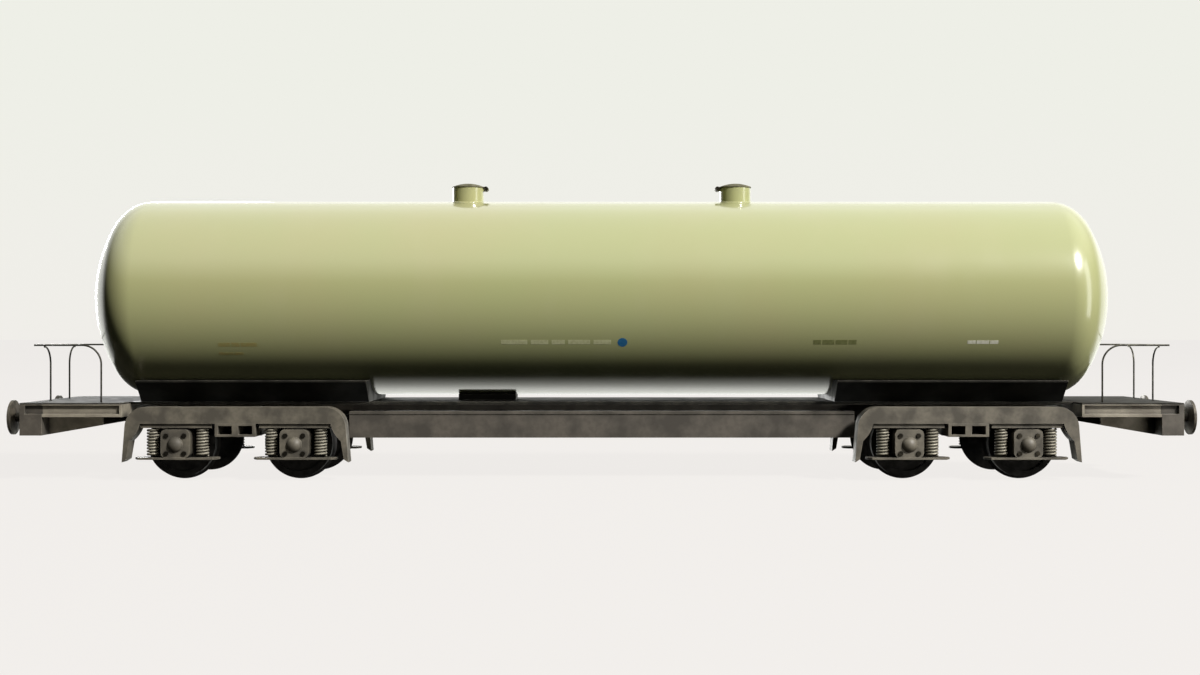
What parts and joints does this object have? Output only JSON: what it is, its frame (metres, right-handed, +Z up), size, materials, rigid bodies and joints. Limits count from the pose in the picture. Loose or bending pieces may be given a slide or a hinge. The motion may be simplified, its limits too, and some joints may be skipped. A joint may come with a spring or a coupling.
{
  "type": "model tank wagon",
  "caption": "Long cylindrical tank on a flat underframe with railed end platforms, sprung buffers, hinged manway lids and sprung swivelling bogies for 45 mm track.",
  "frame": {"origin": "middle of the wagon, level with the lowest points of the wheel flanges", "axes": "+X along the wagon to the right end, +Y to the far side, +Z up"},
  "size_m": [0.4624, 0.0784, 0.1185],
  "materials": {
    "tank_paint": "gloss olive paint",
    "lid_paint": "satin dark olive paint",
    "saddle_paint": "satin black paint",
    "frame_paint": "weathered grey-brown paint",
    "deck_paint": "worn dark grey paint",
    "rail_wire": "blackened steel wire",
    "buffer_steel": "darkened turned steel",
    "bogie_paint": "weathered grey-brown paint on cast metal",
    "spring_steel": "oiled spring wire",
    "bolt_steel": "blackened steel",
    "wheel_steel": "blackened wheels"
  },
  "bodies": {
    "wagon": {"tank_shell": "tank_paint", "manway_necks": "tank_paint", "lid_pins": "bolt_steel", "outlet_box": "saddle_paint", "saddles": "saddle_paint", "frame_plate": "frame_paint", "centre_sills": "frame_paint", "bolsters": "frame_paint", "sole_bars": "frame_paint", "pivot_pins": "bolt_steel", "decks": "deck_paint", "platform_frame_left": "frame_paint", "platform_frame_right": "frame_paint", "buffer_beam_left": "frame_paint", "buffer_beam_right": "frame_paint", "gussets": "frame_paint", "handrail_left": "rail_wire", "handrail_right": "rail_wire", "buffer_bushes": "buffer_steel", "draw_hooks": "frame_paint", "buffer_spring_left_near": "spring_steel", "buffer_spring_left_far": "spring_steel", "buffer_spring_right_near": "spring_steel", "buffer_spring_right_far": "spring_steel"},
    "lid_left": {"hatch_lid_left": "lid_paint"},
    "lid_right": {"hatch_lid_right": "lid_paint"},
    "buffer_head_left_near": {"buffer_left_near": "buffer_steel"},
    "buffer_head_left_far": {"buffer_left_far": "buffer_steel"},
    "buffer_head_right_near": {"buffer_right_near": "buffer_steel"},
    "buffer_head_right_far": {"buffer_right_far": "buffer_steel"},
    "bogie_left": {"side_frame_left_near": "bogie_paint", "side_frame_left_far": "bogie_paint", "transom_left": "bogie_paint"},
    "bogie_right": {"side_frame_right_near": "bogie_paint", "side_frame_right_far": "bogie_paint", "transom_right": "bogie_paint"},
    "suspension_1": {"axle_boxes_1": "bogie_paint", "cover_bolts_1": "bolt_steel", "spring_planks_1": "bogie_paint", "springs_1": "spring_steel"},
    "wheelset_1": {"axle_1": "wheel_steel", "wheels_1": "wheel_steel"},
    "suspension_2": {"axle_boxes_2": "bogie_paint", "cover_bolts_2": "bolt_steel", "spring_planks_2": "bogie_paint", "springs_2": "spring_steel"},
    "wheelset_2": {"axle_2": "wheel_steel", "wheels_2": "wheel_steel"},
    "suspension_3": {"axle_boxes_3": "bogie_paint", "cover_bolts_3": "bolt_steel", "spring_planks_3": "bogie_paint", "springs_3": "spring_steel"},
    "wheelset_3": {"axle_3": "wheel_steel", "wheels_3": "wheel_steel"},
    "suspension_4": {"axle_boxes_4": "bogie_paint", "cover_bolts_4": "bolt_steel", "spring_planks_4": "bogie_paint", "springs_4": "spring_steel"},
    "wheelset_4": {"axle_4": "wheel_steel", "wheels_4": "wheel_steel"}
  },
  "joints": [
    {"name": "lid_left_hinge", "type": "hinge", "parent": "wagon", "child": "lid_left", "pos_m": [-0.0472, 0, 0.1163], "axis": [0, 1, 0], "range_deg": [0, 110]},
    {"name": "lid_right_hinge", "type": "hinge", "parent": "wagon", "child": "lid_right", "pos_m": [0.0472, 0, 0.1163], "axis": [0, -1, 0], "range_deg": [0, 110]},
    {"name": "buffer_left_near_slide", "type": "slide", "parent": "wagon", "child": "buffer_head_left_near", "axis": [1, 0, 0], "range_m": [0, 0.0024], "stiffness_N_per_m": 250, "springref_m": -0.002, "deforming": ["buffer_spring_left_near"]},
    {"name": "buffer_left_far_slide", "type": "slide", "parent": "wagon", "child": "buffer_head_left_far", "axis": [1, 0, 0], "range_m": [0, 0.0024], "stiffness_N_per_m": 250, "springref_m": -0.002, "deforming": ["buffer_spring_left_far"]},
    {"name": "buffer_right_near_slide", "type": "slide", "parent": "wagon", "child": "buffer_head_right_near", "axis": [-1, 0, 0], "range_m": [0, 0.0024], "stiffness_N_per_m": 250, "springref_m": -0.002, "deforming": ["buffer_spring_right_near"]},
    {"name": "buffer_right_far_slide", "type": "slide", "parent": "wagon", "child": "buffer_head_right_far", "axis": [-1, 0, 0], "range_m": [0, 0.0024], "stiffness_N_per_m": 250, "springref_m": -0.002, "deforming": ["buffer_spring_right_far"]},
    {"name": "bogie_left_swivel", "type": "hinge", "parent": "wagon", "child": "bogie_left", "pos_m": [-0.142, 0, 0.0248], "axis": [0, 0, 1], "range_deg": [-2.8, 2.8]},
    {"name": "bogie_right_swivel", "type": "hinge", "parent": "wagon", "child": "bogie_right", "pos_m": [0.142, 0, 0.0248], "axis": [0, 0, 1], "range_deg": [-2.8, 2.8]},
    {"name": "suspension_1_slide", "type": "slide", "parent": "bogie_left", "child": "suspension_1", "axis": [0, 0, 1], "range_m": [0, 0.0004], "stiffness_N_per_m": 2000, "springref_m": -0.0032, "deforming": ["springs_1"]},
    {"name": "wheelset_1_spin", "type": "hinge", "parent": "suspension_1", "child": "wheelset_1", "pos_m": [-0.165, 0, 0.01425], "axis": [0, 1, 0], "continuous": true},
    {"name": "suspension_2_slide", "type": "slide", "parent": "bogie_left", "child": "suspension_2", "axis": [0, 0, 1], "range_m": [0, 0.0004], "stiffness_N_per_m": 2000, "springref_m": -0.0032, "deforming": ["springs_2"]},
    {"name": "wheelset_2_spin", "type": "hinge", "parent": "suspension_2", "child": "wheelset_2", "pos_m": [-0.119, 0, 0.01425], "axis": [0, 1, 0], "continuous": true},
    {"name": "suspension_3_slide", "type": "slide", "parent": "bogie_right", "child": "suspension_3", "axis": [0, 0, 1], "range_m": [0, 0.0004], "stiffness_N_per_m": 2000, "springref_m": -0.0032, "deforming": ["springs_3"]},
    {"name": "wheelset_3_spin", "type": "hinge", "parent": "suspension_3", "child": "wheelset_3", "pos_m": [0.119, 0, 0.01425], "axis": [0, 1, 0], "continuous": true},
    {"name": "suspension_4_slide", "type": "slide", "parent": "bogie_right", "child": "suspension_4", "axis": [0, 0, 1], "range_m": [0, 0.0004], "stiffness_N_per_m": 2000, "springref_m": -0.0032, "deforming": ["springs_4"]},
    {"name": "wheelset_4_spin", "type": "hinge", "parent": "suspension_4", "child": "wheelset_4", "pos_m": [0.165, 0, 0.01425], "axis": [0, 1, 0], "continuous": true}
  ]
}
